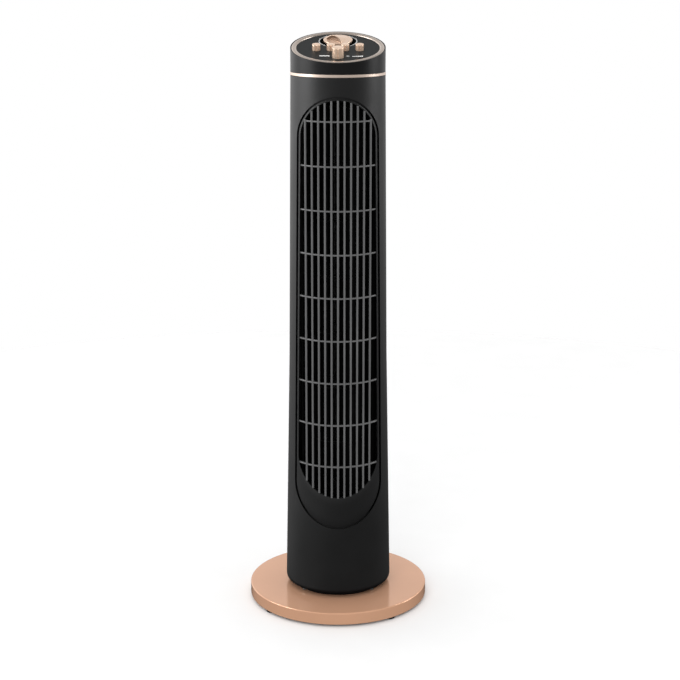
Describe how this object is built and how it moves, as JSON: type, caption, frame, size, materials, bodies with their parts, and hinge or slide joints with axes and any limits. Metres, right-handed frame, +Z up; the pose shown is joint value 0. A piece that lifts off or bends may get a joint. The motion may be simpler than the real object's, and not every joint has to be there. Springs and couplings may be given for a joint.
{
  "type": "tower fan",
  "caption": "Upright tower fan: a slim tapering column with a long grille on a round base; it blows air sideways and swings from side to side, with push keys and a timer dial on top.",
  "frame": {"origin": "centre of the round base, on the floor under the feet", "axes": "+Z up along the column's swing axis; -Y is the front, where the air leaves; +X is to the right of someone facing the front"},
  "size_m": [0.233, 0.233, 0.7349],
  "materials": {
    "rose_gold_metallic": "satin metallic paint",
    "champagne_trim": "satin plating",
    "polished_rose_gold": "polished plating",
    "matt_black": "fine matt texture",
    "satin_black": "smooth satin",
    "charcoal_panel": "smooth satin",
    "black_moulding": "plain moulding",
    "foot_rubber": "matt",
    "white_acetal": "smooth",
    "zinc_screw": "zinc plated",
    "pressed_steel": "plated sheet",
    "laminated_steel": "laminated",
    "bright_shaft": "ground",
    "copper_wire": "varnished winding",
    "bronze_bush": "sintered",
    "switch_plastic": "moulded",
    "lead_sleeve": "sleeved leads"
  },
  "bodies": {
    "base": {"base_cover": "rose_gold_metallic", "base_plate": "black_moulding", "base_feet": "foot_rubber", "base_screws": "zinc_screw", "swivel_hub": "black_moulding", "hub_screws": "zinc_screw", "glide_ring": "white_acetal", "drive_slot": "black_moulding", "drive_slot_screws": "zinc_screw", "swivel_retainer": "black_moulding", "retainer_screws": "zinc_screw"},
    "column": {"drive_motor": "pressed_steel", "drive_motor_screws": "zinc_screw", "column_floor": "black_moulding", "column_floor_screws": "zinc_screw", "front_casing": "matt_black", "rear_casing": "matt_black", "casing_screws": "zinc_screw", "front_grille": "matt_black", "rear_grille": "matt_black", "air_guide": "black_moulding", "air_tongue": "black_moulding", "motor_case_lower": "pressed_steel", "motor_case_upper": "pressed_steel", "motor_stator": "laminated_steel", "motor_windings": "copper_wire", "motor_bearings": "bronze_bush", "motor_deck": "black_moulding", "motor_mounts": "foot_rubber", "motor_screws": "zinc_screw", "duct_roof": "black_moulding", "bearing_cup": "foot_rubber", "top_bearing": "bronze_bush", "run_capacitor": "switch_plastic", "capacitor_clip": "white_acetal", "terminal_block": "white_acetal", "cord_gland": "black_moulding", "wiring_harness": "lead_sleeve", "trim_band": "champagne_trim", "head_shell": "satin_black", "panel_ring": "champagne_trim", "control_panel": "charcoal_panel", "panel_screws": "zinc_screw", "speed_switch": "switch_plastic", "oscillation_switch": "switch_plastic", "timer_body": "switch_plastic"},
    "blower": {"motor_rotor": "laminated_steel", "motor_shaft": "bright_shaft", "wheel_coupling": "foot_rubber", "blower_wheel": "black_moulding", "wheel_pin": "bright_shaft"},
    "crank": {"crank": "white_acetal", "crank_shaft": "bright_shaft"},
    "timer": {"timer_knob": "polished_rose_gold", "timer_spindle": "bright_shaft"},
    "speed_button_0": {"speed_button_0": "polished_rose_gold"},
    "speed_button_1": {"speed_button_1": "polished_rose_gold"},
    "speed_button_2": {"speed_button_2": "polished_rose_gold"},
    "speed_button_3": {"speed_button_3": "polished_rose_gold"},
    "oscillation_knob": {"oscillation_knob": "polished_rose_gold"}
  },
  "joints": [
    {"name": "column_swing", "type": "hinge", "parent": "base", "child": "column", "pos_m": [0, 0, 0.0235], "axis": [0, 0, 1], "range_deg": [-30, 30]},
    {"name": "crank_turn", "type": "hinge", "parent": "column", "child": "crank", "pos_m": [0, 0.032, 0.0192], "axis": [0, 0, 1], "range_deg": [-101, 101]},
    {"name": "blower_spin", "type": "hinge", "parent": "column", "child": "blower", "pos_m": [0, 0.006, 0.4], "axis": [0, 0, 1], "continuous": true},
    {"name": "timer_turn", "type": "hinge", "parent": "column", "child": "timer", "pos_m": [0, 0.02441, 0.72563], "axis": [0, -0.2622, 0.965], "range_deg": [0, 300]},
    {"name": "speed_press_0", "type": "slide", "parent": "column", "child": "speed_button_0", "axis": [0, 0.2622, -0.965], "range_m": [0, 0.003], "stiffness_N_per_m": 300, "springref_m": -0.002},
    {"name": "speed_press_1", "type": "slide", "parent": "column", "child": "speed_button_1", "axis": [0, 0.2622, -0.965], "range_m": [0, 0.003], "stiffness_N_per_m": 300, "springref_m": -0.002},
    {"name": "speed_press_2", "type": "slide", "parent": "column", "child": "speed_button_2", "axis": [0, 0.2622, -0.965], "range_m": [0, 0.003], "stiffness_N_per_m": 300, "springref_m": -0.002},
    {"name": "speed_press_3", "type": "slide", "parent": "column", "child": "speed_button_3", "axis": [0, 0.2622, -0.965], "range_m": [0, 0.003], "stiffness_N_per_m": 300, "springref_m": -0.002},
    {"name": "oscillation_press", "type": "slide", "parent": "column", "child": "oscillation_knob", "axis": [0, 0.2622, -0.965], "range_m": [0, 0.004], "stiffness_N_per_m": 300, "springref_m": -0.002}
  ],
  "couplings": [
    {"joint": "crank_turn", "follows": "column_swing", "ratio": -3.35}
  ]
}
